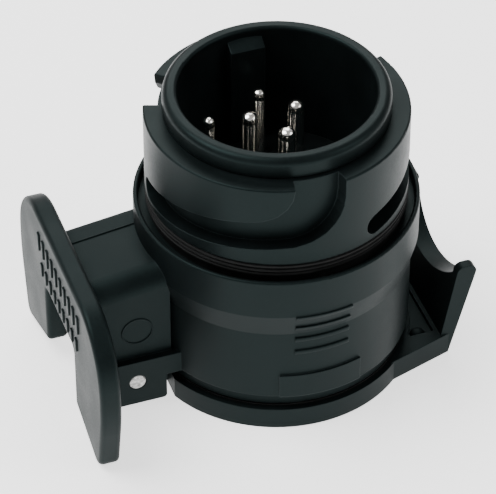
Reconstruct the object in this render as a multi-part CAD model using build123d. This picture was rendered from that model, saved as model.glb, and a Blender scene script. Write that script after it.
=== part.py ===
from build123d import *
from math import cos, degrees, radians, sin, sqrt
import os

# A short trailer wiring adapter: a 13-pin bayonet plug on top of a 7-pin socket with a sprung lid.
# Millimetres. Z runs along the plug's axis from the lid's outer face, and +Z leads into the vehicle socket.
# -X is the hinge side with the label plate, +X is the lid's finger tab, and the plug's key is at +Y.

# ---------------------------------------------------------------- driving sizes
TOTAL_HEIGHT = 51.0          # lid's outer face to the plug's nose
COLLAR_R = 22.5              # largest radius of the housing
FIT_GAP = 0.08               # radial clearance of parts that turn in each other
SEAT_GAP = 0.03              # radial clearance of parts that are fixed in each other
FACE_GAP = 0.2               # gap between faces that pass each other
FREE_GAP = 0.4               # gap between parts that swing past each other

# Plug core: shroud, key and pins
NOSE_R = 17.65
NOSE_H = 3.2
NOSE_ROUND = 1.1
CAVITY_R = 15.3
CAVITY_DEPTH = 20.5
STEM_R = 16.6
STEM_BOTTOM_Z = 24.2
CARRIER_R = 14.4
CARRIER_FLANGE_H = 1.5
CARRIER_H = 5.8
KEY_W = 5.6
KEY_DEEP = 2.1
KEY_BELOW_NOSE = 1.0
KEY_SLOPE = 1.5
PIN_TIP_BELOW_NOSE = 8.0
PIN_R_INNER = 1.3
PIN_R_OUTER = 1.0
PIN_TAIL_R = 0.8
PIN_TAIL_L = 2.0
BLANK_R = 1.7
BLANK_DEEP = 0.8
ORING_R = 0.55
RING_T = 1.2                 # retaining ring's thickness along the axis
RING_W = 1.6                 # how far the retaining ring stands out of its groove
RING_GROOVE = 0.9
RING_SPLIT = 4.0

# Bayonet sleeve
LUG_R = 20.6
CHANNEL_R = 18.3
SLEEVE_BOTTOM_Z = 33.0
SPIGOT_R = 18.95
SPIGOT_BOTTOM_Z = 26.4
LUGS = 3
LUG_WALL_AT = -79.5          # edge of the first full-height wall, beside its entry
ENTRY_ANGLE = 22.5
LOCK_STOP_ANGLE = 108.0      # travel from the entry's wall to the channel's closed end
CHANNEL_END_R = 1.8
CHANNEL_LOW_Z = 33.9         # lower edge at the closed end
CHANNEL_FALL = 2.5           # how far the lower edge falls from the entry's corner to the closed end
ENTRY_CORNER_H = 8.0
ENTRY_CORNER_ANGLE = 26.0
LUG_RISE = 4.8               # how far the lug's underside rises from the closed end to its free end
LUG_TIP_H = 5.0
LUG_TIP_ANGLE = 15.0
LUG_EDGE_ROUND = 0.3

# Housing
COLLAR_TOP_Z = 31.0
COLLAR_LOW_Z = 24.0
CONE_LOW_Z = 19.6
BARREL_R = 21.4
NECK_R = 20.6
NECK_TOP_Z = 6.3
RIM_Z = 4.3                  # lower edge of the barrel, which the lid's gasket closes
RECESS_FLOOR_Z = 29.2
RECESS_WALL = 0.8
CHAMBER_R = 17.8
CHAMBER_TOP_Z = 22.6
SOCKET_R = 19.4
SOCKET_DEEP_Z = 15.6         # ledge that the socket insert rests against
SOCKET_KEY_W = 5.0
SOCKET_KEY_DEEP = 1.5
SKIRT_ROUND = 0.3
PAD_RISE = 0.35
PAD_HALF_ANGLE = 18.0
PAD_LOW_Z = 6.6
PAD_HIGH_Z = 11.0

# Socket insert and contacts
INSERT_FLANGE_H = 2.2
ISLAND_R = 14.5
ISLAND_FACE_Z = 6.2
ISLAND_ROUND = 0.6
CONTACT_CIRCLE_R = 9.5
CONTACT_R = 3.0
CONTACT_BORE_R = 2.5
CONTACT_DEEP = 8.0
CONTACT_TAIL_R = 0.8
CONTACT_TAIL_L = 1.8
CONTACT_COLLAR_R = 3.6
CONTACT_COLLAR_H = 1.0

# Hinge box, ears and label plate
BOX_HALF_W = 8.3
BOX_TOP_Z = 26.8             # at the barrel
BOX_TOP_PLATE_Z = 25.2
BOX_NEAR_ROUND = 3.2
BOX_FAR_ROUND = 1.2
LEDGE_HALF_W = 9.5
LEDGE_TOP_Z = 10.2
LEDGE_LOW_Z = 6.3
LEDGE_INNER_X = -18.0
EAR_REACH = 4.8              # from the hinge's axis to the ears' ends, both ways
EAR_LOW_Z = 1.5
SLOT_HALF_W = 5.2
SLOT_TOP_Z = 11.4
PLATE_REACH = 15.0           # from the barrel to the plate's outer face
PLATE_T = 3.4
PLATE_MIDDLE_Y = -1.0
PLATE_TOP_Z = 28.2
PLATE_TOP_HALF_W = 21.4      # where the top and flank lines meet, before rounding
PLATE_SHOULDER_ROUND = 10.5
PLATE_HALF_W = 22.3
PLATE_WIDEST_Z = 13.0
PLATE_FLANK_ROUND = 30.0
PLATE_FOOT_HALF_W = 19.6
PLATE_FOOT_Z = 0.0
PLATE_FOOT_ROUND = 2.0
NOTCH_HALF_W = 7.4
NOTCH_TOP_Z = 15.5
NOTCH_FOOT_Z = 4.0
NOTCH_ROUND = 1.0
PLATE_EDGE_ROUND = 0.8

# Hinge
HINGE_REACH = 5.0            # from the barrel to the hinge's axis
HINGE_Z = 6.0
HINGE_PIN_R = 1.4
KNUCKLE_R = 3.3
KNUCKLE_GAP = 0.35           # side play between the lid's knuckle and the ears
SPRING_BAY_HALF_W = 2.5
SPRING_WIRE_R = 0.35
SPRING_COIL_R = 2.3
SPRING_TURNS = 5.25          # the odd quarter turns the box leg upright
SPRING_SPREAD = 1.12
LID_LEG_L = 5.4
BOX_LEG_L = 4.7
SPRING_LEG_ROOM = 0.5        # sideways room for the lid leg's slant, beyond the coil's bay
SPRING_RIB_T = 1.2
SPRING_RIB_H = 1.5

# Lid
LID_OVERHANG = 0.3           # how far the lid's rim stands out from the barrel
LID_FLOOR_T = 2.2
LID_WALL_TOP_Z = 3.8
LID_WALL_T = 1.0
LID_CUT_X = -20.0
LID_GASKET_H = 1.9
LID_GASKET_W = 3.0
ARM_LOW_Z = 0.4
ARM_TOP_Z = 5.0
TAB_ROOT_X = 13.7
TAB_HALF_W = 13.1
TAB_WALL_T = 2.1             # at the finger wall's foot
TAB_T = 3.9
TAB_GAP = 1.2                # from the lid's rim to the finger wall's foot
TAB_OUTER_LEAN = 4.5         # how far the wall's faces lean out by their top
TAB_INNER_LEAN = 3.2
TAB_TOP_Z = 17.5
TAB_SCOOP_Z = 11.0
TAB_HORN_W = 1.6
TAB_ROUND = 1.2
TAB_FLOOR_DROP = 0.7
TAB_RAIL_W = 1.5

LEAD_R = 0.6

# ---------------------------------------------------------------- worked-out places
CARRIER_FACE_Z = TOTAL_HEIGHT - CAVITY_DEPTH
CARRIER_SHELF_Z = CARRIER_FACE_Z - CARRIER_FLANGE_H
CARRIER_BOTTOM_Z = CARRIER_FACE_Z - CARRIER_H
NOSE_FOOT_Z = TOTAL_HEIGHT - NOSE_H
SLEEVE_TOP_Z = NOSE_FOOT_Z - FACE_GAP
SLEEVE_BORE_R = STEM_R + FIT_GAP
HOUSING_TOP_BORE_R = SPIGOT_R + SEAT_GAP
RING_TOP_Z = SPIGOT_BOTTOM_Z - FACE_GAP
ORING_Z = RING_TOP_Z + 2.4
PIN_TIP_Z = TOTAL_HEIGHT - PIN_TIP_BELOW_NOSE
INSERT_TOP_Z = SOCKET_DEEP_Z
INSERT_FLANGE_Z = INSERT_TOP_Z - INSERT_FLANGE_H
CONTACT_TOP_Z = INSERT_TOP_Z + CONTACT_COLLAR_H
LID_R = BARREL_R + LID_OVERHANG
TAB_INNER_FOOT_X = LID_R + TAB_GAP
TAB_END_X = TAB_INNER_FOOT_X + TAB_WALL_T
HINGE_X = -(BARREL_R + HINGE_REACH)
PLATE_OUTER_X = -(BARREL_R + PLATE_REACH)
PLATE_INNER_X = PLATE_OUTER_X + PLATE_T
LID_GASKET_TOP_Z = LID_FLOOR_T + LID_GASKET_H
KNUCKLE_HALF_W = SLOT_HALF_W - KNUCKLE_GAP
SECTOR = 360.0 / LUGS

# Plug pins as (x, y, radius), the thin ones near the shroud's wall, then the places left blank
PIN_PLACES = [
    (0.7, 10.1, PIN_R_OUTER),
    (-9.1, 6.0, PIN_R_OUTER),
    (-9.6, -4.5, PIN_R_OUTER),
    (-2.0, -11.0, PIN_R_OUTER),
    (5.15, 5.4, PIN_R_INNER),
    (-2.7, 5.0, PIN_R_INNER),
    (1.5, -0.5, PIN_R_INNER),
]
BLANK_PLACES = [
    (9.6, 5.5),
    (9.6, -5.5),
    (6.4, 0.0),
    (-6.4, 0.0),
    (-3.2, -5.5),
    (3.2, -5.5),
]
# Socket contacts in the order of the pins that their leads come from
CONTACT_PLACES = [
    (CONTACT_CIRCLE_R, 90.0),
    (CONTACT_CIRCLE_R, 150.0),
    (CONTACT_CIRCLE_R, 210.0),
    (CONTACT_CIRCLE_R, 270.0),
    (CONTACT_CIRCLE_R, 30.0),
    (0.0, 0.0),
    (CONTACT_CIRCLE_R, 330.0),
]


# ---------------------------------------------------------------- helpers
def polar(radius, angle):
    """Point in the XY plane at this radius and angle in degrees."""
    return radius * cos(radians(angle)), radius * sin(radians(angle))


def turned(points):
    """Solid of revolution about Z from (radius, z) corners."""
    outline = Plane.XZ * make_face(Polyline([(r, z) for r, z in points], close=True))
    return revolve(outline, Axis.Z)


def rod(radius, z_low, z_high, x=0.0, y=0.0):
    """Upright cylinder between two heights."""
    height = z_high - z_low
    return Pos(x, y, z_low) * Cylinder(radius, height, align=(Align.CENTER, Align.CENTER, Align.MIN))


def block(x_low, x_high, y_low, y_high, z_low, z_high):
    """Box between two corners."""
    size = (x_high - x_low, y_high - y_low, z_high - z_low)
    return Pos(x_low, y_low, z_low) * Box(*size, align=(Align.MIN, Align.MIN, Align.MIN))


def cross_rod(radius, y_low, y_high, x=HINGE_X, z=HINGE_Z):
    """Cylinder along Y, by default on the hinge's axis."""
    base = Plane(origin=(x, y_low, z), x_dir=(1, 0, 0), z_dir=(0, 1, 0))
    return base * Cylinder(radius, y_high - y_low, align=(Align.CENTER, Align.CENTER, Align.MIN))


def rim_edges(body, z):
    """Round edges at this height, from the smallest to the largest."""
    return body.edges().filter_by(GeomType.CIRCLE).filter_by_position(Axis.Z, z, z).sort_by(SortBy.RADIUS)


# ---------------------------------------------------------------- plug core
def plug_shroud():
    """Round wall about the pins, with the nose, the key, and grooves for the O-ring and retaining ring."""
    shelf_bore = CARRIER_R + SEAT_GAP
    groove_r = STEM_R - RING_GROOVE
    oring_floor = STEM_R - 2 * ORING_R
    body = turned([
        (CAVITY_R, TOTAL_HEIGHT),
        (NOSE_R, TOTAL_HEIGHT),
        (NOSE_R, NOSE_FOOT_Z),
        (STEM_R, NOSE_FOOT_Z),
        (STEM_R, ORING_Z + ORING_R + SEAT_GAP),
        (oring_floor, ORING_Z + ORING_R + SEAT_GAP),
        (oring_floor, ORING_Z - ORING_R - SEAT_GAP),
        (STEM_R, ORING_Z - ORING_R - SEAT_GAP),
        (STEM_R, RING_TOP_Z),
        (groove_r, RING_TOP_Z),
        (groove_r, RING_TOP_Z - RING_T),
        (STEM_R, RING_TOP_Z - RING_T),
        (STEM_R, STEM_BOTTOM_Z),
        (shelf_bore, STEM_BOTTOM_Z),
        (shelf_bore, CARRIER_SHELF_Z),
        (CAVITY_R, CARRIER_SHELF_Z),
    ])
    body = fillet(rim_edges(body, TOTAL_HEIGHT)[-1], NOSE_ROUND)
    body = fillet(rim_edges(body, TOTAL_HEIGHT)[0], NOSE_ROUND / 2)
    key_top = TOTAL_HEIGHT - KEY_BELOW_NOSE
    key_outline = Polyline([
        (CAVITY_R + KEY_DEEP / 2, CARRIER_FACE_Z),
        (CAVITY_R - KEY_DEEP, CARRIER_FACE_Z),
        (CAVITY_R - KEY_DEEP, key_top - KEY_SLOPE),
        (CAVITY_R + KEY_DEEP / 2, key_top),
    ], close=True)
    key = extrude(Plane.YZ * make_face(key_outline), KEY_W / 2, both=True)
    return body + key


def pin_carrier():
    """Moulded disc that holds the pins, with dimples at the places left blank."""
    body = turned([
        (0, CARRIER_BOTTOM_Z),
        (CARRIER_R, CARRIER_BOTTOM_Z),
        (CARRIER_R, CARRIER_SHELF_Z),
        (CAVITY_R - SEAT_GAP, CARRIER_SHELF_Z),
        (CAVITY_R - SEAT_GAP, CARRIER_FACE_Z),
        (0, CARRIER_FACE_Z),
    ])
    for x, y, radius in PIN_PLACES:
        body -= rod(radius + SEAT_GAP, CARRIER_BOTTOM_Z, CARRIER_FACE_Z, x, y)
    for x, y in BLANK_PLACES:
        body -= rod(BLANK_R, CARRIER_FACE_Z - BLANK_DEEP, CARRIER_FACE_Z, x, y)
    return body


def plug_pin(number):
    """Round contact pin with a domed tip and a thinner tail for its lead."""
    x, y, radius = PIN_PLACES[number]
    body = rod(radius, CARRIER_BOTTOM_Z, PIN_TIP_Z)
    tip = body.edges().filter_by(GeomType.CIRCLE).sort_by(Axis.Z)[-1]
    body = fillet(tip, radius * 0.85)
    body += rod(PIN_TAIL_R, CARRIER_BOTTOM_Z - PIN_TAIL_L, CARRIER_BOTTOM_Z)
    return Pos(x, y, 0) * body


def core_o_ring():
    """Seal between the core and the bayonet sleeve."""
    return Pos(0, 0, ORING_Z) * Torus(STEM_R - ORING_R, ORING_R)


def core_retaining_ring():
    """Split snap ring that keeps the core in the sleeve."""
    low = RING_TOP_Z - RING_T
    ring = rod(STEM_R + RING_W, low, RING_TOP_Z) - rod(STEM_R - RING_GROOVE + SEAT_GAP, low, RING_TOP_Z)
    return ring - block(0, STEM_R + 2 * RING_W, -RING_SPLIT / 2, RING_SPLIT / 2, low, RING_TOP_Z)


# ---------------------------------------------------------------- bayonet sleeve
def quarter_ellipse(share):
    """Height share of a corner that starts upright at share 0 and runs out level at share 1."""
    left = max(0.0, 1.0 - share)
    return 1.0 - sqrt(1.0 - left * left)


def channel_lower_edge(travel):
    """Height of a bayonet channel's lower edge, by degrees travelled from the entry's wall."""
    slope = (LOCK_STOP_ANGLE - travel) / (LOCK_STOP_ANGLE - ENTRY_CORNER_ANGLE)
    corner = ENTRY_CORNER_H * quarter_ellipse(travel / ENTRY_CORNER_ANGLE)
    return CHANNEL_LOW_Z + CHANNEL_FALL * min(1.0, slope) + corner


def channel_upper_edge(travel):
    """Height of a lug's underside, which rises to its free end and rounds off towards its top."""
    closed_z = CHANNEL_LOW_Z + 2 * CHANNEL_END_R
    slope = (LOCK_STOP_ANGLE - travel) / (LOCK_STOP_ANGLE - ENTRY_ANGLE)
    corner = LUG_TIP_H * quarter_ellipse((travel - ENTRY_ANGLE) / LUG_TIP_ANGLE)
    return closed_z + LUG_RISE * slope + corner


def radial_section(angle, z_low, z_high):
    """Upright rectangle in the half-plane at this angle, reaching past the channel's floor and the lugs."""
    inner = (*polar(CHANNEL_R - 1.0, angle), z_low), (*polar(CHANNEL_R - 1.0, angle), z_high)
    outer = (*polar(LUG_R + 1.0, angle), z_high), (*polar(LUG_R + 1.0, angle), z_low)
    return make_face(Polyline([*inner, *outer], close=True))


def channel_cutters():
    """One J-shaped channel's solids: the entry, the sloping way under the lug, and the round closed end."""
    roof_z = SLEEVE_TOP_Z + 1.0
    entry_shares = (0.0, 0.03, 0.1, 0.22, 0.4, 0.65, 1.0)
    entry_steps = [ENTRY_ANGLE * share for share in entry_shares]
    entry = [radial_section(-t, channel_lower_edge(t), roof_z) for t in entry_steps]
    last = LOCK_STOP_ANGLE - degrees(CHANNEL_END_R / LUG_R)
    way_shares = (0.0, 0.01, 0.04, 0.09, 0.17, 0.3, 0.45, 0.6, 0.8, 1.0)
    way_steps = [ENTRY_ANGLE + (last - ENTRY_ANGLE) * share for share in way_shares]
    way = [radial_section(-t, channel_lower_edge(t), channel_upper_edge(t)) for t in way_steps]
    end_z = (channel_lower_edge(last) + channel_upper_edge(last)) / 2
    end_r = (channel_upper_edge(last) - channel_lower_edge(last)) / 2
    end_plane = Plane(origin=(*polar(CHANNEL_R - 1.0, -last), end_z), z_dir=(*polar(1.0, -last), 0))
    reach = LUG_R - CHANNEL_R + 2.0
    end = end_plane * Cylinder(end_r, reach, align=(Align.CENTER, Align.CENTER, Align.MIN))
    return [loft(entry, ruled=True), loft(way, ruled=True), end]


def bayonet_sleeve():
    """Outer sleeve with lugs and J-shaped channels that lock in the vehicle's socket."""
    tube = turned([
        (SLEEVE_BORE_R, SLEEVE_TOP_Z),
        (CHANNEL_R, SLEEVE_TOP_Z),
        (CHANNEL_R, SLEEVE_BOTTOM_Z),
        (SPIGOT_R, SLEEVE_BOTTOM_Z),
        (SPIGOT_R, SPIGOT_BOTTOM_Z),
        (SLEEVE_BORE_R, SPIGOT_BOTTOM_Z),
    ])
    lugs = rod(LUG_R, SLEEVE_BOTTOM_Z, SLEEVE_TOP_Z) - rod(CHANNEL_R, SLEEVE_BOTTOM_Z, SLEEVE_TOP_Z)
    rims = [e for e in lugs.edges().filter_by(GeomType.CIRCLE) if e.radius > CHANNEL_R + LUG_EDGE_ROUND]
    lugs = fillet(rims, LUG_EDGE_ROUND)
    cutters = channel_cutters()
    for number in range(LUGS):
        for cutter in cutters:
            lugs -= Rot(0, 0, LUG_WALL_AT + number * SECTOR) * cutter
    return tube + lugs


def flange_gasket():
    """Ribbed sealing ring in the housing's recess, under the sleeve."""
    inner = SPIGOT_R + SEAT_GAP
    valley = LUG_R - 0.5
    height = SLEEVE_BOTTOM_Z - RECESS_FLOOR_Z
    ribs = 3
    points = [(inner, RECESS_FLOOR_Z), (valley, RECESS_FLOOR_Z)]
    for number in range(ribs):
        low = SLEEVE_BOTTOM_Z - height * 0.6 * (ribs - number) / ribs
        step = height * 0.6 / ribs
        points += [(valley, low), (LUG_R, low + 0.3 * step), (LUG_R, low + 0.7 * step)]
    points += [(valley, SLEEVE_BOTTOM_Z), (inner, SLEEVE_BOTTOM_Z)]
    return turned(points)


# ---------------------------------------------------------------- housing
def label_plate():
    """Upright plate that carries the label and stops the open lid, with a notch for the lid's arm."""
    corners = [
        (PLATE_TOP_HALF_W, PLATE_TOP_Z, PLATE_SHOULDER_ROUND),
        (PLATE_HALF_W, PLATE_WIDEST_Z, PLATE_FLANK_ROUND),
        (PLATE_FOOT_HALF_W, PLATE_FOOT_Z, PLATE_FOOT_ROUND),
        (NOTCH_HALF_W, NOTCH_FOOT_Z, NOTCH_ROUND),
        (NOTCH_HALF_W, NOTCH_TOP_Z, NOTCH_ROUND),
    ]
    right = [(y, z) for y, z, _ in corners]
    left = [(-y, z) for y, z, _ in reversed(corners)]
    outline = make_face(Polyline(right + left, close=True))
    for y, z, rounding in corners:
        pair = [v for v in outline.vertices() if abs(abs(v.X) - y) < 0.001 and abs(v.Y - z) < 0.001]
        outline = fillet(pair, rounding)
    plane = Plane(origin=(PLATE_OUTER_X, PLATE_MIDDLE_Y, 0), x_dir=(0, 1, 0), z_dir=(1, 0, 0))
    plate = extrude(plane * outline, PLATE_T)
    outer_face, inner_face = plate.faces().filter_by(Axis.X).sort_by(Axis.X)
    return fillet(outer_face.edges() + inner_face.edges(), PLATE_EDGE_ROUND)


def hinge_box():
    """Box between the barrel and the plate, with side ledges and the hinge's two ears."""
    reach_x = -SOCKET_R - 1.0
    side = Polyline([
        (PLATE_INNER_X, LEDGE_LOW_Z),
        (reach_x, LEDGE_LOW_Z),
        (reach_x, BOX_TOP_Z),
        (PLATE_INNER_X, BOX_TOP_PLATE_Z),
    ], close=True)
    box = extrude(Plane.XZ * make_face(side), BOX_HALF_W, both=True)
    near_edge = box.faces().sort_by(Axis.Z)[-1].edges().group_by(Axis.Y)[0]
    box = fillet(near_edge, BOX_NEAR_ROUND)
    far_side = box.faces().sort_by(Axis.Y)[-1]
    far_edge = far_side.edges().sort_by(Axis.Z)[-1]
    box = fillet(far_edge, BOX_FAR_ROUND)
    box += block(PLATE_INNER_X, LEDGE_INNER_X, -LEDGE_HALF_W, LEDGE_HALF_W, LEDGE_LOW_Z, LEDGE_TOP_Z)
    ears_low_x, ears_high_x = HINGE_X - EAR_REACH, HINGE_X + EAR_REACH
    ears = block(ears_low_x, ears_high_x, -LEDGE_HALF_W, LEDGE_HALF_W, EAR_LOW_Z, LEDGE_LOW_Z)
    feet = ears.edges().filter_by(Axis.Y).group_by(Axis.Z)[0]
    ears = fillet(feet, 0.6)
    slot = block(PLATE_OUTER_X - 1, -BARREL_R, -SLOT_HALF_W, SLOT_HALF_W, 0, SLOT_TOP_Z)
    rib_x = HINGE_X - SPRING_COIL_R + SPRING_WIRE_R + SEAT_GAP
    rib_low = SLOT_TOP_Z - SPRING_RIB_H
    rib = block(rib_x, rib_x + SPRING_RIB_T, -SLOT_HALF_W, SLOT_HALF_W, rib_low, SLOT_TOP_Z)
    return box + ears - slot + rib


def barrel_outline():
    """(radius, z) corners of the housing's round body, outside then inside."""
    return [
        (NECK_R, RIM_Z),
        (NECK_R, NECK_TOP_Z),
        (BARREL_R, NECK_TOP_Z),
        (BARREL_R, CONE_LOW_Z),
        (COLLAR_R, COLLAR_LOW_Z),
        (COLLAR_R, COLLAR_TOP_Z),
        (COLLAR_R - RECESS_WALL, COLLAR_TOP_Z),
        (COLLAR_R - RECESS_WALL, RECESS_FLOOR_Z),
        (HOUSING_TOP_BORE_R, RECESS_FLOOR_Z),
        (HOUSING_TOP_BORE_R, CHAMBER_TOP_Z),
        (CHAMBER_R, CHAMBER_TOP_Z),
        (CHAMBER_R, SOCKET_DEEP_Z),
        (SOCKET_R, SOCKET_DEEP_Z),
        (SOCKET_R, RIM_Z),
    ]


def arc_pad():
    """Shallow raised pad low on the front of the barrel."""
    ring = rod(BARREL_R + PAD_RISE, PAD_LOW_Z, PAD_HIGH_Z) - rod(BARREL_R - PAD_RISE, PAD_LOW_Z, PAD_HIGH_Z)
    reach = 2 * COLLAR_R
    corners = [(0, 0)] + [polar(reach, -90 + side * PAD_HALF_ANGLE) for side in (-1, 1)]
    wedge = extrude(make_face(Polyline(corners, close=True)), TOTAL_HEIGHT)
    return ring & wedge


def socket_housing():
    """Main moulding: barrel, collar, hinge box with its ears, and the label plate."""
    barrel = turned(barrel_outline())
    barrel = fillet(rim_edges(barrel, COLLAR_TOP_Z), RECESS_WALL / 2 - 0.05)
    barrel = fillet(rim_edges(barrel, NECK_TOP_Z)[-1], SKIRT_ROUND)
    bore = rod(SOCKET_R, 0, SOCKET_DEEP_Z) + rod(HOUSING_TOP_BORE_R, CHAMBER_TOP_Z, TOTAL_HEIGHT)
    bore += rod(CHAMBER_R, 0, TOTAL_HEIGHT) + rod(COLLAR_R - RECESS_WALL, RECESS_FLOOR_Z, TOTAL_HEIGHT)
    body = barrel + (hinge_box() + label_plate() - bore) + arc_pad()
    key_x = SOCKET_R - SOCKET_KEY_DEEP
    key = block(key_x, SOCKET_R + 1.0, -SOCKET_KEY_W / 2, SOCKET_KEY_W / 2, RIM_Z + 1.0, INSERT_FLANGE_Z)
    body += key
    return body - cross_rod(HINGE_PIN_R + SEAT_GAP, -LEDGE_HALF_W, LEDGE_HALF_W)


# ---------------------------------------------------------------- 7-pin socket
def contact_bores():
    """Cutters for the contacts' bores, one each."""
    bores = [polar(*place) for place in CONTACT_PLACES]
    return [rod(CONTACT_R + SEAT_GAP, ISLAND_FACE_Z, INSERT_TOP_Z, x, y) for x, y in bores]


def socket_insert():
    """Round island of the 7-pin socket, with the contacts' bores."""
    body = rod(ISLAND_R, ISLAND_FACE_Z, INSERT_FLANGE_Z)
    body = fillet(rim_edges(body, ISLAND_FACE_Z), ISLAND_ROUND)
    for bore in contact_bores():
        body -= bore
    return body


def insert_plate():
    """Plate behind the island, which seats on the housing's ledge and carries the contacts' collars."""
    body = rod(SOCKET_R - SEAT_GAP, INSERT_FLANGE_Z, INSERT_TOP_Z)
    for bore in contact_bores():
        body -= bore
    return body


def socket_contact(number):
    """Tube contact with a collar on the insert's back and a tail for its lead."""
    x, y = polar(*CONTACT_PLACES[number])
    mouth_z = ISLAND_FACE_Z + 0.4
    body = rod(CONTACT_R, mouth_z, INSERT_TOP_Z) + rod(CONTACT_COLLAR_R, INSERT_TOP_Z, CONTACT_TOP_Z)
    body += rod(CONTACT_TAIL_R, CONTACT_TOP_Z, CONTACT_TOP_Z + CONTACT_TAIL_L)
    body -= rod(CONTACT_BORE_R, mouth_z, mouth_z + CONTACT_DEEP)
    mouth = body.edges().filter_by(GeomType.CIRCLE).group_by(Axis.Z)[0].sort_by(SortBy.RADIUS)[0]
    body = chamfer(mouth, 0.3)
    return Pos(x, y, 0) * body


def lead(number):
    """Insulated wire from a plug pin's tail to its socket contact's tail."""
    pin_x, pin_y, _ = PIN_PLACES[number]
    contact_x, contact_y = polar(*CONTACT_PLACES[number])
    top_z = CARRIER_BOTTOM_Z - PIN_TAIL_L
    low_z = CONTACT_TOP_Z + CONTACT_TAIL_L
    rise = (top_z - low_z) / 3
    start, end = (contact_x, contact_y, low_z), (pin_x, pin_y, top_z)
    corners = [start, (contact_x, contact_y, low_z + rise), (pin_x, pin_y, top_z - rise), end]
    path = FilletPolyline(corners, radius=0.8 * rise)
    section = Plane(origin=start, z_dir=(0, 0, 1)) * Circle(LEAD_R)
    return sweep(section, path)


# ---------------------------------------------------------------- lid and hinge
def tab_wall():
    """Leaning finger wall with a round scoop in its top between two horns."""
    profile = Polyline([
        (TAB_INNER_FOOT_X, 0),
        (TAB_END_X, 0),
        (TAB_END_X + TAB_OUTER_LEAN, TAB_TOP_Z),
        (TAB_INNER_FOOT_X + TAB_INNER_LEAN, TAB_TOP_Z),
    ], close=True)
    wall = extrude(Plane.XZ * make_face(profile), TAB_HALF_W, both=True)
    depth = TAB_TOP_Z - TAB_SCOOP_Z
    scoop_r = (TAB_HALF_W ** 2 + depth ** 2) / (2 * depth)
    bowl = Plane(origin=(0, 0, TAB_SCOOP_Z + scoop_r), z_dir=(1, 0, 0)) * Cylinder(scoop_r, 4 * TAB_END_X)
    horns = block(0, 2 * TAB_END_X, -TAB_HALF_W + TAB_HORN_W, TAB_HALF_W - TAB_HORN_W, 0, 2 * TAB_TOP_Z)
    wall -= bowl & horns
    ends = wall.edges().filter_by(Axis.Y).group_by(Axis.Z)[-1]
    return fillet(ends, TAB_ROUND)


def lid():
    """Round lid with a rim, the arm and knuckle of its hinge, and the finger tab."""
    floor_and_rim = turned([
        (0, 0),
        (LID_R, 0),
        (LID_R, LID_WALL_TOP_Z),
        (LID_R - LID_WALL_T, LID_WALL_TOP_Z),
        (LID_R - LID_WALL_T, LID_FLOOR_T),
        (0, LID_FLOOR_T),
    ])
    root_y = sqrt(LID_R ** 2 - TAB_ROOT_X ** 2) - 0.3
    slab_plan = Polyline([
        (TAB_ROOT_X, -root_y),
        (TAB_END_X, -TAB_HALF_W),
        (TAB_END_X, TAB_HALF_W),
        (TAB_ROOT_X, root_y),
    ], close=True)
    slab = extrude(make_face(slab_plan), TAB_T)
    floor_low = TAB_T - TAB_FLOOR_DROP
    floor_half_w = TAB_HALF_W - TAB_RAIL_W
    slab -= block(LID_R - 3, TAB_INNER_FOOT_X, -floor_half_w, floor_half_w, floor_low, TAB_T)
    slab -= rod(LID_R - LID_WALL_T, LID_FLOOR_T, TAB_T)
    body = floor_and_rim + slab + tab_wall()
    body -= block(-LID_R - 1, LID_CUT_X, -LID_R, LID_R, 0, LID_WALL_TOP_Z)
    cut_half_w = sqrt(LID_R ** 2 - LID_CUT_X ** 2) - LID_WALL_T / 2
    body += block(LID_CUT_X, LID_CUT_X + LID_WALL_T, -cut_half_w, cut_half_w, 0, LID_WALL_TOP_Z)
    body += knuckle()
    return body - cross_rod(HINGE_PIN_R + FIT_GAP, -LEDGE_HALF_W, LEDGE_HALF_W)


def knuckle():
    """Arm from the lid's edge to the hinge, with a bay for the spring's coil and a groove for its leg."""
    tall_end_x = -NECK_R - FREE_GAP
    body = block(HINGE_X, tall_end_x, -KNUCKLE_HALF_W, KNUCKLE_HALF_W, ARM_LOW_Z, ARM_TOP_Z)
    body += block(tall_end_x, LID_CUT_X, -KNUCKLE_HALF_W, KNUCKLE_HALF_W, ARM_LOW_Z, LID_WALL_TOP_Z)
    body += cross_rod(KNUCKLE_R, -KNUCKLE_HALF_W, KNUCKLE_HALF_W)
    coil_reach = SPRING_COIL_R + SPRING_WIRE_R + FREE_GAP
    half_w = SPRING_BAY_HALF_W
    body -= cross_rod(coil_reach, -half_w, half_w)
    body -= block(HINGE_X - KNUCKLE_R, HINGE_X, -half_w, half_w, HINGE_Z - coil_reach, HINGE_Z + KNUCKLE_R)
    body -= block(HINGE_X, HINGE_X + coil_reach, -half_w, half_w, HINGE_Z, HINGE_Z + KNUCKLE_R)
    leg_z = HINGE_Z - SPRING_COIL_R
    leg_reach = SPRING_WIRE_R + FACE_GAP / 2
    leg_low, leg_high = leg_z - leg_reach, leg_z + leg_reach
    return body - block(HINGE_X, LID_CUT_X, -half_w - SPRING_LEG_ROOM, 0, leg_low, leg_high)


def lid_gasket():
    """Flat rubber ring in the lid that the barrel's lower edge closes on."""
    outer = LID_R - LID_WALL_T - SEAT_GAP
    ring = rod(outer, LID_FLOOR_T, LID_GASKET_TOP_Z)
    ring -= rod(outer - LID_GASKET_W, LID_FLOOR_T, LID_GASKET_TOP_Z)
    edge_x = LID_CUT_X + LID_WALL_T + SEAT_GAP
    return ring - block(-LID_R, edge_x, -LID_R, LID_R, LID_FLOOR_T, LID_GASKET_TOP_Z)


def hinge_pin():
    """Steel pin through the ears and the lid's knuckle."""
    body = cross_rod(HINGE_PIN_R, -LEDGE_HALF_W, LEDGE_HALF_W)
    return chamfer(body.edges().filter_by(GeomType.CIRCLE), 0.15)


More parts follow.
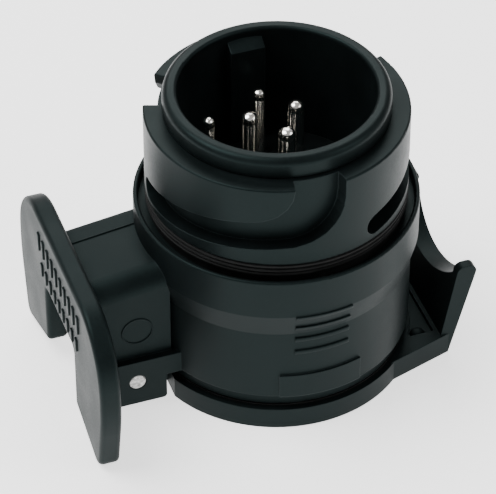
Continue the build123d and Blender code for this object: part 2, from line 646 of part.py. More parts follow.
def lid_spring():
    """Torsion spring about the hinge pin, with one leg in the lid's arm and one in the hinge box."""
    pitch = 2 * SPRING_WIRE_R * SPRING_SPREAD
    length = pitch * SPRING_TURNS
    coil = Helix(pitch=pitch, height=length, radius=SPRING_COIL_R)
    lid_leg = Line(coil @ 0 - (coil % 0) * LID_LEG_L, coil @ 0)
    box_leg = Line(coil @ 1, coil @ 1 + (coil % 1) * BOX_LEG_L)
    wire = Wire([lid_leg, coil, box_leg])
    section = Plane(origin=wire @ 0, z_dir=wire % 0) * Circle(SPRING_WIRE_R)
    spring = sweep(section, wire, is_frenet=True)
    seat = Plane(origin=(HINGE_X, -length / 2, HINGE_Z), x_dir=(0, 0, -1), z_dir=(0, 1, 0))
    return seat * spring


# ---------------------------------------------------------------- the assembly
def assembly():
    """Every sub-part by its name."""
    parts = {
        "socket_housing": socket_housing(),
        "bayonet_sleeve": bayonet_sleeve(),
        "flange_gasket": flange_gasket(),
        "socket_insert": socket_insert(),
        "insert_plate": insert_plate(),
        "hinge_pin": hinge_pin(),
        "plug_shroud": plug_shroud(),
        "pin_carrier": pin_carrier(),
        "core_o_ring": core_o_ring(),
        "core_retaining_ring": core_retaining_ring(),
        "lid": lid(),
        "lid_gasket": lid_gasket(),
        "lid_spring": lid_spring(),
    }
    for number in range(len(PIN_PLACES)):
        parts[f"plug_pin_{number + 1}"] = plug_pin(number)
        parts[f"socket_contact_{number + 1}"] = socket_contact(number)
        parts[f"lead_{number + 1}"] = lead(number)
    return parts


os.makedirs("parts", exist_ok=True)
for name, shape in assembly().items():
    export_step(shape, f"parts/{name}.step")
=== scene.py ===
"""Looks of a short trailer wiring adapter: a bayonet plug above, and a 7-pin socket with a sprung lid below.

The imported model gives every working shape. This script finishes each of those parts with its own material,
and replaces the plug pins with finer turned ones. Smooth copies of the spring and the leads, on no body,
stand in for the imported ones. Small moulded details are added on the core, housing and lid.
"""

import logging
import math
from dataclasses import dataclass, field
from enum import Enum
from typing import TypeAlias

import bmesh
import bpy
from mathutils import Matrix, Vector


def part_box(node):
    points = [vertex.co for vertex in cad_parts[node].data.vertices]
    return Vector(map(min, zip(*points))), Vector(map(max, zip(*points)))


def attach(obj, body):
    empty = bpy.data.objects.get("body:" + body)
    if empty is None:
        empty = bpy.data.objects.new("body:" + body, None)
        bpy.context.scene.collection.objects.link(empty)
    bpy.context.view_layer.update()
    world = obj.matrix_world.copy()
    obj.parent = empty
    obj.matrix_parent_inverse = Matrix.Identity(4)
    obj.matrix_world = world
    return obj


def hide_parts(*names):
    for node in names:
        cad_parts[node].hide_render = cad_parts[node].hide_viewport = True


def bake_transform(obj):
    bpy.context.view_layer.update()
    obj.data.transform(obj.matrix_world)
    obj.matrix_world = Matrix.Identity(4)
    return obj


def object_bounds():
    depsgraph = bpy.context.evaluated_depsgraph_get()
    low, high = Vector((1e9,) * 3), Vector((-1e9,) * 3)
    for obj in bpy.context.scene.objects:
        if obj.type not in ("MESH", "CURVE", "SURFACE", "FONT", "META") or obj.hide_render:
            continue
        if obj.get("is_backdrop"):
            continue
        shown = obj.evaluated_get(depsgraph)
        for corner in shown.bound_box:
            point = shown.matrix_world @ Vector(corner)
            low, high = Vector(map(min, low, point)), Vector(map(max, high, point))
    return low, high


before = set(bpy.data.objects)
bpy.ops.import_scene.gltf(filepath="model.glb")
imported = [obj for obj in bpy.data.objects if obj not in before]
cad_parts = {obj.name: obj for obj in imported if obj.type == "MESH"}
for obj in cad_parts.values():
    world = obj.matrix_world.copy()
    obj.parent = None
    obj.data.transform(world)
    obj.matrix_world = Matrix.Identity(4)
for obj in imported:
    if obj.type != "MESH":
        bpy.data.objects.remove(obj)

LOG = logging.getLogger("adapter")
MM = 0.001
WELD_DISTANCE = 1e-7
CUT_DISTANCE = 1e-8
SHARP_ANGLE = 40.0
ROUND_STEPS = 48

Triple: TypeAlias = tuple[float, float, float]
Band: TypeAlias = tuple[float, float]
Outline: TypeAlias = list[tuple[float, float]]
Number: TypeAlias = "Shade | float"


# ---------------------------------------------------------------- shader wrapper
@dataclass(frozen=True)
class Shade:
    """A shader socket with arithmetic, so that a pattern reads as an expression."""

    sheet: "NodeSheet"
    socket: bpy.types.NodeSocket

    def __add__(self, other: Number) -> "Shade":
        """Sum with another value."""
        return self.sheet.arithmetic("ADD", self, other)

    def __sub__(self, other: Number) -> "Shade":
        """Difference from another value."""
        return self.sheet.arithmetic("SUBTRACT", self, other)

    def __rsub__(self, other: Number) -> "Shade":
        """Difference of a plain number and this value."""
        return self.sheet.arithmetic("SUBTRACT", other, self)

    def __mul__(self, other: Number) -> "Shade":
        """Product with another value."""
        return self.sheet.arithmetic("MULTIPLY", self, other)

    __radd__ = __add__
    __rmul__ = __mul__


class NodeSheet:
    """Builds the node tree of one material."""

    MIX_FACTOR, MIX_FIRST, MIX_SECOND, MIX_RESULT = 0, 6, 7, 2
    EVEN: Triple = (1.0, 1.0, 1.0)
    BEVEL_SAMPLES = 6
    EDGE_TURN: Band = (0.01, 0.16)

    def __init__(self, material: bpy.types.Material) -> None:
        """Empties the material's tree.

        Args:
            material: The material whose nodes this sheet makes.
        """
        material.use_nodes = True
        self.tree = material.node_tree
        self.tree.nodes.clear()

    def add(self, kind: str, settings: dict | None = None, inputs: dict | None = None,
            output: str | int = 0) -> Shade:
        """Adds any node.

        Args:
            kind: The node's type.
            settings: Properties of the node, by name.
            inputs: Values or links of its sockets, by name or number.
            output: The socket to hand back, by name or number.

        Returns:
            The chosen output socket.
        """
        node = self.tree.nodes.new(kind)
        for name, value in (settings or {}).items():
            setattr(node, name, value)
        for name, value in (inputs or {}).items():
            if isinstance(value, Shade):
                self.tree.links.new(value.socket, node.inputs[name])
            else:
                node.inputs[name].default_value = value
        return Shade(self, node.outputs[output])

    def arithmetic(self, operation: str, first: Number, second: Number) -> Shade:
        """Adds a Math node for two values."""
        return self.add("ShaderNodeMath", {"operation": operation}, {0: first, 1: second})

    def place(self) -> Shade:
        """Position on the piece in its object's coordinates."""
        return self.add("ShaderNodeTexCoord", output="Object")

    def noise(self, size: float, detail: float, stretch: Triple = EVEN) -> Shade:
        """Cloudy pattern from 0 to 1.

        Args:
            size: Width of one cloud in metres.
            detail: Octaves of finer clouds.
            stretch: Shares by which each axis is squeezed.

        Returns:
            The pattern.
        """
        place = self.place()
        if stretch != self.EVEN:
            place = self.add("ShaderNodeMapping", inputs={"Vector": place, "Scale": stretch})
        inputs = {"Vector": place, "Scale": 1.0 / size, "Detail": detail}
        return self.add("ShaderNodeTexNoise", inputs=inputs)

    def mix(self, share: Number, first: Triple | Shade, second: Triple | Shade) -> Shade:
        """Blend of two colours by a share from 0 to 1."""
        inputs = {self.MIX_FACTOR: share}
        for socket, colour in ((self.MIX_FIRST, first), (self.MIX_SECOND, second)):
            inputs[socket] = colour if isinstance(colour, Shade) else (*colour, 1.0)
        return self.add("ShaderNodeMix", {"data_type": "RGBA"}, inputs, self.MIX_RESULT)

    def span(self, value: Shade, band: Band) -> Shade:
        """Value mapped so that the band's low end gives 0 and its high end 1, held within them."""
        inputs = {"Value": value, "From Min": band[0], "From Max": band[1]}
        return self.add("ShaderNodeMapRange", {"clamp": True}, inputs)

    def rounded_normal(self, radius: float) -> Shade:
        """Normal that turns smoothly round edges of this radius."""
        return self.add("ShaderNodeBevel", {"samples": self.BEVEL_SAMPLES}, {"Radius": radius})

    def edge_mask(self, rounded: Shade) -> Shade:
        """1 on an edge's round and 0 on flat faces."""
        true_normal = self.add("ShaderNodeNewGeometry", output="Normal")
        normals = {0: rounded, 1: true_normal}
        agreement = self.add("ShaderNodeVectorMath", {"operation": "DOT_PRODUCT"}, normals, "Value")
        return self.span(1.0 - agreement, self.EDGE_TURN)

    def bump(self, height: Shade, depth: float, normal: Shade | None = None) -> Shade:
        """Surface relief of this depth in metres."""
        inputs = {"Height": height, "Distance": depth, "Strength": 1.0}
        if normal is not None:
            inputs["Normal"] = normal
        return self.add("ShaderNodeBump", inputs=inputs)

    def surface(self, **inputs: object) -> None:
        """Closes the tree with a Principled shader.

        Args:
            **inputs: Values or links of the shader's sockets, with _ for a space.
        """
        named = {name.replace("_", " "): value for name, value in inputs.items()}
        shader = self.add("ShaderNodeBsdfPrincipled", inputs=named)
        output = self.tree.nodes.new("ShaderNodeOutputMaterial")
        self.tree.links.new(shader.socket, output.inputs["Surface"])


# ---------------------------------------------------------------- finishes
@dataclass(frozen=True)
class Finish:
    """A named material, whose nodes each kind of finish draws in its own way."""

    name: str

    def make(self) -> bpy.types.Material:
        """Builds the material.

        Returns:
            The new material.
        """
        material = bpy.data.materials.new(self.name)
        self.draw(NodeSheet(material))
        return material

    def draw(self, sheet: NodeSheet) -> None:
        """Draws the nodes.

        Args:
            sheet: The material's empty sheet.
        """
        raise NotImplementedError


@dataclass(frozen=True)
class MouldedPlastic(Finish):
    """Black moulded plastic with a spark-eroded grain, soft mottling, and paler edges that are partly wear
    and partly painted highlight.
    """

    dark: Triple
    pale: Triple
    # Paler colour of rounded edges: partly wear, partly a painted highlight.
    edge: Triple
    roughness: float
    grain: float
    grain_depth: float
    edge_round: float = 0.22 * MM
    reflectance: float = 0.1
    tint: Triple = (0.62, 1.0, 0.97)
    cloud_size: float = 7.0 * MM
    cloud_detail: float = 4.0
    cloud_band: Band = (0.3, 0.7)
    speck_grains: float = 2.5
    speck_detail: float = 3.0
    speck_band: Band = (0.35, 0.75)
    speck_share: float = 0.4
    grain_detail: float = 2.0
    # Least share of the paler edge colour (painted highlight and wear) where the clouds are darkest.
    least_edge_highlight_and_wear: float = 0.35
    cloud_sheen: float = 0.1
    speck_sheen: float = 0.06
    edge_polish: float = 0.05

    def draw(self, sheet: NodeSheet) -> None:
        """Draws the clouds and specks of the tone, the paler edges of painted highlight and wear, and the
        grain.
        """
        cloud = sheet.span(sheet.noise(self.cloud_size, self.cloud_detail), self.cloud_band)
        speck = sheet.span(sheet.noise(self.grain * self.speck_grains, self.speck_detail), self.speck_band)
        rounded = sheet.rounded_normal(self.edge_round)
        edge = sheet.edge_mask(rounded)
        share = cloud * (1.0 - self.speck_share) + speck * self.speck_share
        tone = sheet.mix(share, self.dark, self.pale)
        # Paler edges: a painted highlight on every rounded edge, mixed with wear that varies with the
        # clouds.
        edge_highlight_and_wear = edge * (self.least_edge_highlight_and_wear + (1.0 - self.least_edge_highlight_and_wear) * cloud)
        relief = sheet.bump(sheet.noise(self.grain, self.grain_detail), self.grain_depth, rounded)
        roughness = self.roughness + (cloud - 0.5) * self.cloud_sheen + (speck - 0.5) * self.speck_sheen
        sheet.surface(
            Base_Color=sheet.mix(edge_highlight_and_wear, tone, self.edge),
            Roughness=roughness - edge * self.edge_polish,
            Specular_IOR_Level=self.reflectance,
            Specular_Tint=(*self.tint, 1.0),
            Normal=relief,
        )


@dataclass(frozen=True)
class SealRubber(Finish):
    """Matt black rubber with a faint bloom."""

    dark: Triple
    bloom: Triple
    roughness: float
    reflectance: float = 0.2
    cloud_size: float = 2.5 * MM
    cloud_detail: float = 5.0
    cloud_band: Band = (0.45, 0.75)
    cloud_sheen: float = 0.08
    grain: float = 0.12 * MM
    grain_detail: float = 1.0
    grain_depth: float = 0.008 * MM

    def draw(self, sheet: NodeSheet) -> None:
        """Draws the bloom's clouds and the fine grain."""
        cloud = sheet.span(sheet.noise(self.cloud_size, self.cloud_detail), self.cloud_band)
        relief = sheet.bump(sheet.noise(self.grain, self.grain_detail), self.grain_depth)
        sheet.surface(
            Base_Color=sheet.mix(cloud, self.dark, self.bloom),
            Roughness=self.roughness + cloud * self.cloud_sheen,
            Specular_IOR_Level=self.reflectance,
            Normal=relief,
        )


@dataclass(frozen=True)
class PlatedMetal(Finish):
    """Bright plating with faint lengthwise draw marks and a slight tarnish."""

    bright: Triple
    tarnish: Triple
    roughness: float
    cloud_size: float = 1.6 * MM
    cloud_detail: float = 3.0
    cloud_band: Band = (0.35, 0.75)
    cloud_sheen: float = 0.08
    mark_width: float = 0.42 * MM
    mark_detail: float = 1.0
    mark_stretch: Triple = (1.0, 1.0, 0.06)
    mark_depth: float = 0.06 * MM

    def draw(self, sheet: NodeSheet) -> None:
        """Draws the tarnish's clouds and the draw marks."""
        cloud = sheet.span(sheet.noise(self.cloud_size, self.cloud_detail), self.cloud_band)
        marks = sheet.noise(self.mark_width, self.mark_detail, self.mark_stretch)
        sheet.surface(
            Base_Color=sheet.mix(cloud, self.bright, self.tarnish),
            Metallic=1.0,
            Roughness=self.roughness + cloud * self.cloud_sheen,
            Normal=sheet.bump(marks, self.mark_depth),
        )


@dataclass(frozen=True)
class CutSteel(Finish):
    """Dull steel with a mottled grey skin, as on a cropped pin or a wound wire."""

    pale: Triple
    dark: Triple
    roughness: float
    metallic: float = 0.75
    edge_round: float = 0.12 * MM
    cloud_size: float = 0.5 * MM
    cloud_detail: float = 5.0
    cloud_band: Band = (0.35, 0.68)
    cloud_sheen: float = 0.2
    pit_size: float = 0.15 * MM
    pit_detail: float = 3.0
    pit_depth: float = 0.02 * MM

    def draw(self, sheet: NodeSheet) -> None:
        """Draws the skin's clouds and the pits."""
        cloud = sheet.span(sheet.noise(self.cloud_size, self.cloud_detail), self.cloud_band)
        pits = sheet.noise(self.pit_size, self.pit_detail)
        sheet.surface(
            Base_Color=sheet.mix(cloud, self.pale, self.dark),
            Metallic=self.metallic,
            Roughness=self.roughness + cloud * self.cloud_sheen,
            Normal=sheet.bump(pits, self.pit_depth, sheet.rounded_normal(self.edge_round)),
        )


@dataclass(frozen=True)
class WireInsulation(Finish):
    """Satin PVC in one of the harness's colours."""

    colour: Triple
    roughness: float = 0.35
    shadow: float = 0.75
    cloud_size: float = 0.8 * MM
    cloud_detail: float = 3.0
    cloud_sheen: float = 0.15
    grain: float = 0.2 * MM
    grain_detail: float = 2.0
    grain_depth: float = 0.01 * MM

    def draw(self, sheet: NodeSheet) -> None:
        """Draws the colour's darker clouds and the fine grain."""
        cloud = sheet.noise(self.cloud_size, self.cloud_detail)
        darker = tuple(self.shadow * part for part in self.colour)
        relief = sheet.bump(sheet.noise(self.grain, self.grain_detail), self.grain_depth)
        sheet.surface(
            Base_Color=sheet.mix(cloud, self.colour, darker),
            Roughness=self.roughness + cloud * self.cloud_sheen,
            Normal=relief,
        )


class LeadColour(Enum):
    """Insulation colours of the seven leads, in the order of the socket's contacts."""

    YELLOW = (0.75, 0.5, 0.03)
    BLUE = (0.03, 0.1, 0.45)
    WHITE = (0.7, 0.7, 0.68)
    GREEN = (0.03, 0.3, 0.06)
    BROWN = (0.16, 0.06, 0.02)
    RED = (0.5, 0.02, 0.02)
    BLACK = (0.02, 0.02, 0.02)


class Finishes:
    """Every material of the adapter, made once."""

    def __init__(self) -> None:
        """Builds the materials."""
        # In each moulded plastic the third colour is the paler edge colour: partly wear, partly a painted
        # highlight.
        self.housing = MouldedPlastic(
            "moulded_housing", (0.0035, 0.0048, 0.005), (0.0065, 0.0092, 0.0096), (0.022, 0.029, 0.03),
            0.47, 0.16 * MM, 0.012 * MM).make()
        self.plug = MouldedPlastic(
            "moulded_plug", (0.0032, 0.0044, 0.0046), (0.006, 0.0085, 0.0088), (0.024, 0.031, 0.032),
            0.4, 0.2 * MM, 0.008 * MM).make()
        self.insert = MouldedPlastic(
            "moulded_insert", (0.003, 0.0035, 0.0036), (0.0055, 0.0065, 0.0068), (0.012, 0.015, 0.0155),
            0.5, 0.25 * MM, 0.006 * MM, 0.12 * MM).make()
        self.rubber = SealRubber(
            "seal_rubber", (0.0035, 0.0038, 0.0038), (0.009, 0.0095, 0.0095), 0.68).make()
        self.pin = PlatedMetal("nickel_pin", (0.95, 0.93, 0.89), (0.75, 0.72, 0.66), 0.12).make()
        self.contact = PlatedMetal("nickel_contact", (0.75, 0.72, 0.66), (0.5, 0.46, 0.38), 0.24).make()
        self.steel = CutSteel("cut_steel", (0.62, 0.62, 0.6), (0.22, 0.22, 0.21), 0.38).make()
        self.spring = CutSteel("spring_steel", (0.42, 0.42, 0.42), (0.2, 0.2, 0.2), 0.3).make()
        self.leads = [WireInsulation(f"lead_{lead.name.lower()}", lead.value).make() for lead in LeadColour]


# ---------------------------------------------------------------- bmesh shaping
class Shaping:
    """bmesh steps that several sub-assemblies share."""

    @staticmethod
    def ring_section(points: Outline) -> bmesh.types.BMesh:
        """Starts a bmesh with one face in the XZ plane.

        Args:
            points: (radius, height) corners in order.

        Returns:
            A bmesh with that face.
        """
        mesh = bmesh.new()
        mesh.faces.new([mesh.verts.new((radius, 0.0, height)) for radius, height in points])
        return mesh

    @staticmethod
    def turn_line(points: Outline) -> bmesh.types.BMesh:
        """Turns an open line from axis to axis into a closed round solid.

        Args:
            points: (radius, height) corners, the first and last on the axis.

        Returns:
            The closed solid.
        """
        mesh = bmesh.new()
        verts = [mesh.verts.new((radius, 0.0, height)) for radius, height in points]
        edges = [mesh.edges.new(pair) for pair in zip(verts, verts[1:])]
        bmesh.ops.spin(mesh, geom=verts + edges, axis=(0, 0, 1), cent=(0, 0, 0), angle=math.tau,
                       steps=ROUND_STEPS, use_merge=True)
        bmesh.ops.remove_doubles(mesh, verts=mesh.verts, dist=WELD_DISTANCE)
        bmesh.ops.recalc_face_normals(mesh, faces=mesh.faces)
        return mesh

    @staticmethod
    def turn_section(points: Outline, soften: float, start: float = 0.0, end: float = 360.0,
                     steps: int = ROUND_STEPS) -> bmesh.types.BMesh:
        """Sweeps a closed section about Z between two angles.

        Args:
            points: (radius, height) corners of the section.
            soften: Width of the bevel on the section's corners.
            start: First angle in degrees.
            end: Last angle in degrees; a full turn closes on itself.
            steps: Segments of the sweep.

        Returns:
            The swept solid.
        """
        mesh = Shaping.ring_section(points)
        bmesh.ops.bevel(mesh, geom=mesh.verts[:], offset=soften, segments=2, profile=0.5,
                        affect="VERTICES", material=-1)
        turn = Matrix.Rotation(math.radians(start), 3, "Z")
        bmesh.ops.rotate(mesh, verts=mesh.verts, cent=(0, 0, 0), matrix=turn)
        full = abs(end - start) >= 360.0
        if full:
            bmesh.ops.delete(mesh, geom=mesh.faces[:], context="FACES_ONLY")
        geometry = mesh.verts[:] + mesh.edges[:] + mesh.faces[:]
        bmesh.ops.spin(mesh, geom=geometry, axis=(0, 0, 1), cent=(0, 0, 0),
                       angle=math.radians(end - start), steps=steps, use_merge=full)
        bmesh.ops.recalc_face_normals(mesh, faces=mesh.faces)
        return mesh

    @staticmethod
    def bar(length: float, width: float, height: float, soften: float) -> bmesh.types.BMesh:
        """Low bar with softened edges, centred, its length along X and its height along Z."""
        mesh = bmesh.new()
        bmesh.ops.create_cube(mesh, size=1.0, matrix=Matrix.Diagonal((length, width, height, 1.0)))
        bmesh.ops.bevel(mesh, geom=mesh.edges[:], offset=soften, segments=3, profile=0.5,
                        affect="EDGES", material=-1)
        return mesh

    @staticmethod
    def join(parts: list[bmesh.types.BMesh]) -> bmesh.types.BMesh:
        """Puts several bmeshes into one and frees them."""
        whole = bmesh.new()
        for part in parts:
            carrier = bpy.data.meshes.new("carrier")
            part.to_mesh(carrier)
            part.free()
            whole.from_mesh(carrier)
            bpy.data.meshes.remove(carrier)
        return whole

    @staticmethod
    def place(mesh: bmesh.types.BMesh, matrix: Matrix) -> bmesh.types.BMesh:
        """Moves a bmesh and hands it back."""
        bmesh.ops.transform(mesh, matrix=matrix, verts=mesh.verts)
        return mesh


def finish_piece(name: str, mesh: bmesh.types.BMesh, material: bpy.types.Material,
                 body: str | None) -> bpy.types.Object:
    """Turns a bmesh into a smooth-shaded piece.

    Args:
        name: The piece's name.
        mesh: Its shape in the frame's metres; freed here.
        material: Its finish.
        body: The body that it moves with, or None for a piece on no body.

    Returns:
        The new object.
    """
    data = bpy.data.meshes.new(name)
    mesh.to_mesh(data)
    mesh.free()
    data.shade_smooth()
    data.set_sharp_from_angle(angle=math.radians(SHARP_ANGLE))
    data.materials.append(material)
    piece = bpy.data.objects.new(name, data)
    bpy.context.scene.collection.objects.link(piece)
    if body is not None:
        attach(piece, body)
    LOG.info("piece %s on %s, %d faces", name, body, len(data.polygons))
    return piece


def bend_between(node: str, name: str, material: bpy.types.Material) -> None:
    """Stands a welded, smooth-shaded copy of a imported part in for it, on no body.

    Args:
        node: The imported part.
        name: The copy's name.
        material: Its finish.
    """
    mesh = bmesh.new()
    mesh.from_mesh(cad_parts[node].data)
    bmesh.ops.remove_doubles(mesh, verts=mesh.verts, dist=WELD_DISTANCE)
    piece = finish_piece(name, mesh, material, None)
    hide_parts(node)
    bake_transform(piece)


def dress(node: str, material: bpy.types.Material) -> None:
    """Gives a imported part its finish."""
    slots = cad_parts[node].data.materials
    slots.clear()
    slots.append(material)
    LOG.info("finish %s on %s", material.name, node)


# ---------------------------------------------------------------- sub-assemblies
@dataclass
class PlugCore:
    """The turning core: shroud, carrier, seals and the turned contact pins."""

    finishes: Finishes
    pins: int = 7
    dome_share: float = 0.78
    dome_steps: int = 8
    neck_below_tip: float = 1.55 * MM
    neck_width: float = 0.22 * MM
    neck_depth: float = 0.05 * MM
    neck_flank: float = 0.3
    tail_length: float = 2.0 * MM
    tail_radius: float = 0.8 * MM
    foot_gap: float = 0.04 * MM
    foot_width: float = 0.55 * MM
    foot_height: float = 0.5 * MM
    foot_slope: float = 0.15 * MM
    foot_soften: float = 0.08 * MM

    def build(self) -> None:
        """Dresses the core and turns its pins."""
        dress("plug_shroud", self.finishes.plug)
        dress("pin_carrier", self.finishes.insert)
        dress("core_o_ring", self.finishes.rubber)
        dress("core_retaining_ring", self.finishes.steel)
        for number in range(1, self.pins + 1):
            self._pin(number)
            self._foot(number)

    def _pin_line(self, radius: float, low: float, tip: float) -> Outline:
        """Outline of one pin from its tail's end to the top of its dome.

        Args:
            radius: The pin's radius.
            low: Height of the tail's end.
            tip: Height of the dome's top.

        Returns:
            (radius, height) corners.
        """
        shoulder = low + self.tail_length
        neck = tip - self.neck_below_tip
        dip = radius - self.neck_depth
        line = [(0.0, low), (self.tail_radius, low), (self.tail_radius, shoulder), (radius, shoulder)]
        line += [(radius, neck - self.neck_width), (dip, neck - (1.0 - self.neck_flank) * self.neck_width)]
        line += [(dip, neck - self.neck_flank * self.neck_width), (radius, neck)]
        rise = radius * self.dome_share
        for step in range(1, self.dome_steps):
            turn = math.radians(90.0 * step / self.dome_steps)
            line.append((radius * math.cos(turn), tip - rise + rise * math.sin(turn)))
        return line + [(0.0, tip)]

    def _pin(self, number: int) -> None:
        """Turns one pin and hides the plain one."""
        node = f"plug_pin_{number}"
        low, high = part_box(node)
        middle = (low + high) / 2
        radius = (high.x - low.x) / 2
        mesh = Shaping.turn_line(self._pin_line(radius, low.z, high.z))
        Shaping.place(mesh, Matrix.Translation((middle.x, middle.y, 0.0)))
        piece = finish_piece(f"turned_pin_{number}", mesh, self.finishes.pin, "core")
        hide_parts(node)

    def _foot(self, number: int) -> None:
        """Adds the moulded collar that stands about a pin on the carrier."""
        low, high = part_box(f"plug_pin_{number}")
        middle = (low + high) / 2
        inner = (high.x - low.x) / 2 + self.foot_gap
        outer = inner + self.foot_width
        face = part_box("pin_carrier")[1].z
        top = face + self.foot_height
        points = [(inner, face), (outer, face), (outer - self.foot_slope, top), (inner, top)]
        mesh = Shaping.turn_section(points, self.foot_soften)
        Shaping.place(mesh, Matrix.Translation((middle.x, middle.y, 0.0)))
        finish_piece(f"pin_collar_{number}", mesh, self.finishes.insert, "core")


@dataclass
class Housing:
    """The main moulding with its bayonet sleeve, and the small relief on its walls."""

    finishes: Finishes
    front: float = -90.0
    barrel_radius: float = 21.4 * MM
    collar_radius: float = 22.5 * MM
    cone_low: float = 19.6 * MM
    cone_high: float = 24.0 * MM
    rib_count: int = 4
    rib_low: float = 15.3 * MM
    rib_pitch: float = 2.6 * MM
    rib_height: float = 1.0 * MM
    rib_length: float = 8.8 * MM
    rib_slope: float = 0.15 * MM
    rib_soften: float = 0.1 * MM
    rib_steps: int = 16
    relief: float = 0.28 * MM
    sunk: float = 0.3 * MM
    plate_row_z: tuple[float, float] = (23.3 * MM, 18.3 * MM)
    plate_row_height: tuple[float, float] = (3.4 * MM, 2.4 * MM)
    plate_row_bars: tuple[int, int] = (10, 9)
    plate_bar_pitch: float = 2.3 * MM
    plate_bar_width: float = 0.9 * MM
    plate_bar_soften: float = 0.12 * MM
    plate_middle: float = -1.5 * MM
    box_side: float = -8.3 * MM
    disc_x: float = -25.9 * MM
    disc_z: float = 15.7 * MM
    disc_radius: float = 2.6 * MM
    disc_relief: float = 0.14 * MM
    disc_soften: float = 0.06 * MM
    line_width: float = 0.28 * MM
    seam_start: Triple = (-32.6 * MM, 4.3 * MM, 25.27 * MM)
    seam_end: Triple = (-21.6 * MM, 4.3 * MM, 26.7 * MM)
    seam_height: float = 0.3 * MM
    seam_soften: float = 0.08 * MM

    def build(self) -> None:
        """Dresses the housing and adds its relief."""
        dress("socket_housing", self.finishes.housing)
        dress("bayonet_sleeve", self.finishes.plug)
        dress("flange_gasket", self.finishes.rubber)
        self._barrel_ribs()
        self._plate_bars()
        self._moulding_disc()
        self._box_seam()

    def _wall_radius(self, height: float) -> float:
        """Radius of the barrel's outside at a height."""
        share = (height - self.cone_low) / (self.cone_high - self.cone_low)
        share = max(0.0, min(1.0, share))
        return self.barrel_radius + share * (self.collar_radius - self.barrel_radius)

    def _barrel_ribs(self) -> None:
        """Adds a group of plain level ribs on the front of the barrel."""
        half_angle = math.degrees(self.rib_length / self.barrel_radius) / 2
        ribs = []
        for number in range(self.rib_count):
            low = self.rib_low + number * self.rib_pitch
            high = low + self.rib_height
            low_r, high_r = self._wall_radius(low), self._wall_radius(high)
            points = [
                (low_r - self.sunk, low),
                (low_r + self.relief, low + self.rib_slope),
                (high_r + self.relief, high - self.rib_slope),
                (high_r - self.sunk, high),
            ]
            ribs.append(Shaping.turn_section(points, self.rib_soften, self.front - half_angle,
                                             self.front + half_angle, self.rib_steps))
        finish_piece("barrel_ribs", Shaping.join(ribs), self.finishes.housing, "housing")

    def _plate_bars(self) -> None:
        """Adds two rows of plain upright bars where the plate would carry its label."""
        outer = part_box("socket_housing")[0].x
        stand = Matrix.Rotation(math.radians(-90.0), 4, "Y")
        bars = []
        for height, length, count in zip(self.plate_row_z, self.plate_row_height, self.plate_row_bars):
            first = self.plate_middle - (count - 1) * self.plate_bar_pitch / 2
            for number in range(count):
                bar = Shaping.bar(length, self.plate_bar_width, 2 * self.relief, self.plate_bar_soften)
                at = Vector((outer, first + number * self.plate_bar_pitch, height))
                bars.append(Shaping.place(bar, Matrix.Translation(at) @ stand))
        finish_piece("plate_bars", Shaping.join(bars), self.finishes.housing, "housing")

    def _moulding_disc(self) -> None:
        """Adds the plain round outline that an ejector insert leaves on the box's side."""
        inner = self.disc_radius - self.line_width
        points = [(inner, -self.sunk), (self.disc_radius, -self.sunk), (self.disc_radius, self.disc_relief),
                  (inner, self.disc_relief)]
        mesh = Shaping.turn_section(points, self.disc_soften)
        facing = Matrix.Rotation(math.radians(90.0), 4, "X")
        Shaping.place(mesh, Matrix.Translation((self.disc_x, self.box_side, self.disc_z)) @ facing)
        finish_piece("ejector_outline", mesh, self.finishes.housing, "housing")

    def _box_seam(self) -> None:
        """Adds the fine parting line along the top of the hinge box."""
        start, end = Vector(self.seam_start), Vector(self.seam_end)
        run = end - start
        bar = Shaping.bar(run.length, self.line_width, self.seam_height, self.seam_soften)
        lean = math.atan2(run.z, run.x)
        Shaping.place(bar, Matrix.Translation((start + end) / 2) @ Matrix.Rotation(-lean, 4, "Y"))
        finish_piece("box_parting_line", bar, self.finishes.housing, "housing")


@dataclass
class Socket:
    """The 7-pin side behind the lid: contact block, contacts and leads."""

    finishes: Finishes
    contacts: int = 7

    def build(self) -> None:
        """Dresses the contact block, its contacts and their leads."""
        dress("socket_insert", self.finishes.insert)
        dress("insert_plate", self.finishes.insert)
        for number in range(1, self.contacts + 1):
            dress(f"socket_contact_{number}", self.finishes.contact)
            self._lead(number)

    def _lead(self, number: int) -> None:
        """Stands a smooth copy of the lead in for the plain one."""
        node = f"lead_{number}"
        bend_between(node, f"twisting_lead_{number}", self.finishes.leads[number - 1])


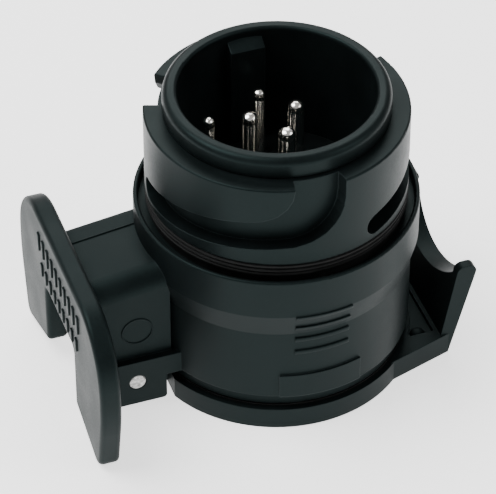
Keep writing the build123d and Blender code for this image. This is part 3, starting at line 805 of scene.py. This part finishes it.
@dataclass
class SprungLid:
    """The lid with its seal, spring and hinge pin, and a small button at each end of the tab's floor."""

    finishes: Finishes
    button_x: float = 20.5 * MM
    button_y: float = -10.7 * MM
    button_radius: float = 1.25 * MM
    button_height: float = 0.7 * MM
    button_sunk: float = 0.21 * MM
    button_rounds: tuple[int, int] = (40, 20)
    floor_height: float = 3.2 * MM
    coil_half: float = 2.06 * MM

    def build(self) -> None:
        """Dresses the lid's parts and adds its relief."""
        dress("lid", self.finishes.housing)
        dress("lid_gasket", self.finishes.rubber)
        self._spring()
        dress("hinge_pin", self.finishes.steel)
        for side, name in ((1, "near"), (-1, "far")):
            self._button(side, name)

    def _spring(self) -> None:
        """Stands a smooth copy of the spring in for the rigid one."""
        bend_between("lid_spring", "winding_spring", self.finishes.spring)

    def _button(self, side: int, name: str) -> None:
        """Adds a low half-round button on the tab's floor, on one side."""
        around, up = self.button_rounds
        mesh = bmesh.new()
        bmesh.ops.create_uvsphere(mesh, u_segments=around, v_segments=up, radius=1.0)
        scale = Matrix.Diagonal((self.button_radius, self.button_radius, self.button_height, 1.0))
        bmesh.ops.transform(mesh, matrix=scale, verts=mesh.verts)
        foot = (0.0, 0.0, -self.button_sunk)
        bmesh.ops.bisect_plane(mesh, geom=mesh.verts[:] + mesh.edges[:] + mesh.faces[:], dist=CUT_DISTANCE,
                               plane_co=foot, plane_no=(0, 0, -1), clear_outer=True)
        bmesh.ops.holes_fill(mesh, edges=mesh.edges, sides=0)
        bmesh.ops.recalc_face_normals(mesh, faces=mesh.faces)
        Shaping.place(mesh, Matrix.Translation((self.button_x, side * self.button_y, self.floor_height)))
        finish_piece(f"tab_button_{name}", mesh, self.finishes.housing, "lid")


# ---------------------------------------------------------------- studio
@dataclass(frozen=True)
class SoftLight:
    """A square studio light that faces the adapter."""

    name: str
    place: Triple
    width: float
    power: float

    def hang(self, target: Vector) -> None:
        """Puts up the light.

        Args:
            target: The point that it faces.
        """
        data = bpy.data.lights.new(self.name, "AREA")
        data.size = self.width
        data.energy = self.power
        light = bpy.data.objects.new(self.name, data)
        light.location = self.place
        light.rotation_euler = (target - Vector(self.place)).to_track_quat("-Z", "Y").to_euler()
        bpy.context.scene.collection.objects.link(light)


@dataclass
class Studio:
    """Pale floor, soft lights and the camera."""

    pivot: Vector = field(default_factory=lambda: Vector((0.0, 0.0, 0.030)))
    aim: Vector = field(default_factory=lambda: Vector((-0.00597, -0.00363, 0.02353)))
    azimuth: float = -20.0
    elevation: float = 40.1
    distance: float = 0.5
    sensor: float = 36.0
    lens: float = 231.604839
    nearest: float = 0.01
    floor_size: float = 6.0
    floor_gap: float = 0.05 * MM
    floor_tone: float = 0.92
    floor_roughness: float = 0.9
    floor_glow: float = 1.5
    room_glow: float = 0.4

    def build(self) -> None:
        """Sets up everything round the adapter."""
        self._floor()
        self._sky()
        for light in (
            SoftLight("key_light", (-0.4, 0.15, 0.8), 0.55, 9.5),
            SoftLight("fill_light", (0.75, -0.5, 0.7), 0.5, 3.2),
            SoftLight("back_light", (0.2, 0.75, 0.7), 0.6, 5.5),
        ):
            light.hang(self.pivot)
        self._camera()

    def _floor(self) -> None:
        """Lays a wide pale floor under the lid."""
        mesh = bmesh.new()
        bmesh.ops.create_grid(mesh, x_segments=1, y_segments=1, size=self.floor_size / 2)
        data = bpy.data.meshes.new("studio_floor")
        mesh.to_mesh(data)
        mesh.free()
        material = bpy.data.materials.new("pale_floor")
        tone = (self.floor_tone, self.floor_tone, self.floor_tone, 1.0)
        NodeSheet(material).surface(Base_Color=tone, Roughness=self.floor_roughness,
                                    Emission_Color=(1.0, 1.0, 1.0, 1.0), Emission_Strength=self.floor_glow)
        data.materials.append(material)
        floor = bpy.data.objects.new("studio_floor", data)
        floor.location.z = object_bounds()[0][2] - self.floor_gap
        bpy.context.scene.collection.objects.link(floor)
        floor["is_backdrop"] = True

    def _sky(self) -> None:
        """Fills the room with even pale light."""
        world = bpy.data.worlds.new("studio_room")
        world.use_nodes = True
        background = world.node_tree.nodes["Background"]
        background.inputs["Color"].default_value = (1.0, 1.0, 1.0, 1.0)
        background.inputs["Strength"].default_value = self.room_glow
        bpy.context.scene.world = world

    def _camera(self) -> None:
        """Stands the camera on its arc about the pivot."""
        data = bpy.data.cameras.new("studio_camera")
        data.sensor_width = self.sensor
        data.lens = self.lens
        data.clip_start = self.nearest
        around, up = math.radians(self.azimuth), math.radians(self.elevation)
        back = Vector((math.sin(around) * math.cos(up), -math.cos(around) * math.cos(up), math.sin(up)))
        camera = bpy.data.objects.new("studio_camera", data)
        camera.location = self.pivot + back * self.distance
        camera.rotation_euler = (self.aim - camera.location).to_track_quat("-Z", "Y").to_euler()
        bpy.context.scene.collection.objects.link(camera)
        bpy.context.scene.camera = camera


def main() -> None:
    """Builds every sub-assembly in order, then the studio."""
    logging.basicConfig(level=logging.INFO, format="%(name)s: %(message)s")
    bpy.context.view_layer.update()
    finishes = Finishes()
    for assembly in (PlugCore(finishes), Housing(finishes), Socket(finishes), SprungLid(finishes)):
        assembly.build()
    Studio().build()


if __name__ == "__main__":
    main()
